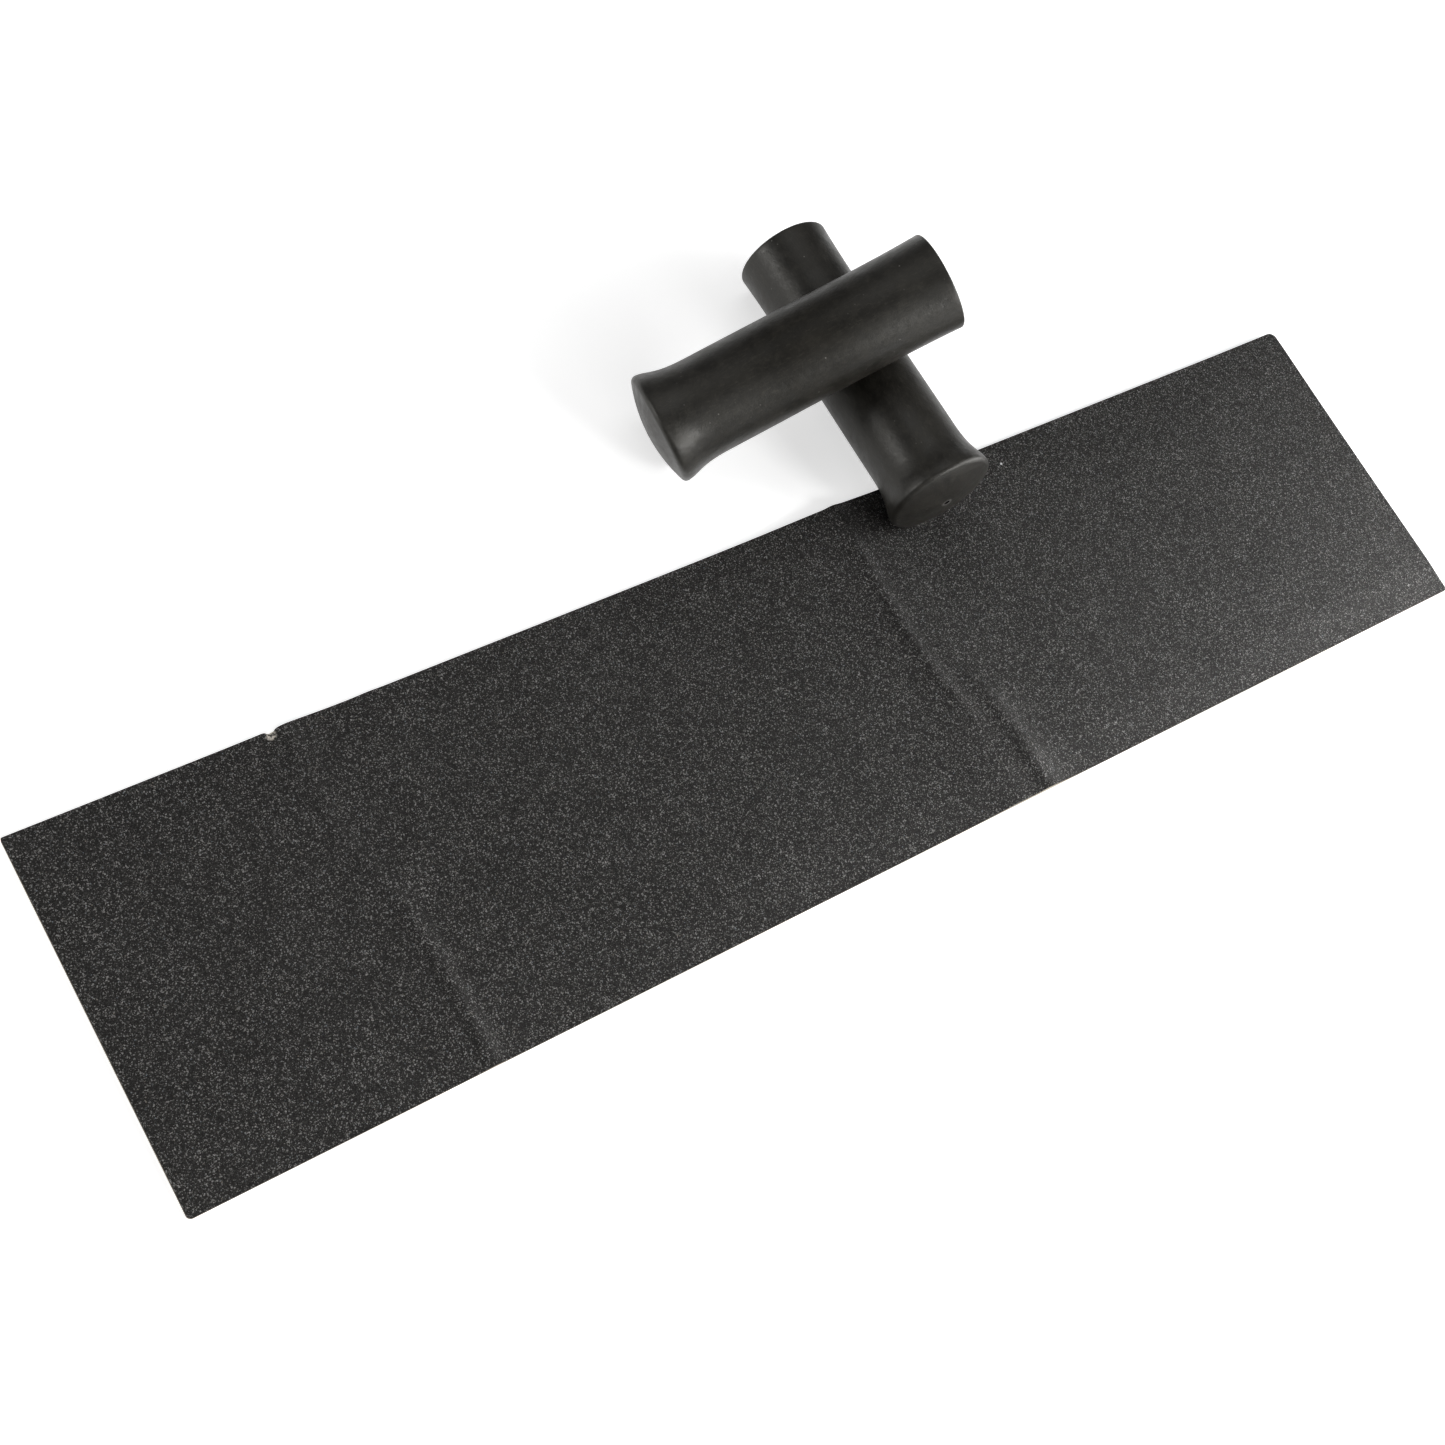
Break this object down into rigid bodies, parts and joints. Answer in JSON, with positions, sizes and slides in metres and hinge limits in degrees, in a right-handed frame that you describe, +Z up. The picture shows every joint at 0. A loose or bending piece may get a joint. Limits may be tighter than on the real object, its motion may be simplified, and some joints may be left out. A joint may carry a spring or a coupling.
{
  "type": "grit sheet and hand grip set",
  "caption": "Long black self-adhesive grit sheet on a paper liner, folded across in three, with smooth flared push-on rubber hand grips lying crossed at its back edge.",
  "frame": {"origin": "centre of the liner's underside, the flat face that lies on the bench", "axes": "+X along the sheet, +Y across it towards the edge where the grips lie, +Z up, out of the grit face"},
  "size_m": [0.51, 0.2098, 0.078],
  "materials": {
    "black_grit": "black mineral grit bonded to a film, rough, with fine bright sparkle",
    "liner_paper": "pale release paper",
    "black_rubber": "smooth satin-black moulded rubber"
  },
  "bodies": {
    "sheet_right": {"grit_sheet_right": "black_grit"},
    "sheet_middle": {"grit_sheet_middle": "black_grit"},
    "sheet_left": {"grit_sheet_left": "black_grit"},
    "liner_right": {"liner_right": "liner_paper"},
    "liner_middle": {"liner_middle": "liner_paper"},
    "liner_left": {"liner_left": "liner_paper"},
    "lower_grip": {"lower_grip": "black_rubber"},
    "upper_grip": {"upper_grip": "black_rubber"}
  },
  "joints": [
    {"name": "right_fold", "type": "hinge", "parent": "sheet_right", "child": "sheet_middle", "pos_m": [0.05, 0, 0.0028], "axis": [-0.1219, 0.9925, 0], "range_deg": [0, 90]},
    {"name": "left_fold", "type": "hinge", "parent": "sheet_middle", "child": "sheet_left", "pos_m": [-0.166, 0, 0.0028], "axis": [-0.1219, 0.9925, 0], "range_deg": [0, 175]},
    {"name": "liner_peel", "type": "slide", "parent": "sheet_right", "child": "liner_right", "axis": [0.1219, -0.9925, 0], "range_m": [0, 0.125]},
    {"name": "liner_right_fold", "type": "hinge", "parent": "liner_right", "child": "liner_middle", "pos_m": [0.05, 0, 0.0028], "axis": [-0.1219, 0.9925, 0], "range_deg": [0, 90]},
    {"name": "liner_left_fold", "type": "hinge", "parent": "liner_middle", "child": "liner_left", "pos_m": [-0.166, 0, 0.0028], "axis": [-0.1219, 0.9925, 0], "range_deg": [0, 175]},
    {"name": "lower_grip_lift", "type": "slide", "parent": "sheet_right", "child": "lower_grip", "axis": [0, 0.5, 0.866], "range_m": [0, 0.05]},
    {"name": "upper_grip_lift", "type": "slide", "parent": "lower_grip", "child": "upper_grip", "axis": [0, 0.5, 0.866], "range_m": [0, 0.05]}
  ],
  "couplings": [
    {"joint": "liner_right_fold", "follows": "right_fold", "ratio": 1},
    {"joint": "liner_left_fold", "follows": "left_fold", "ratio": 1}
  ]
}
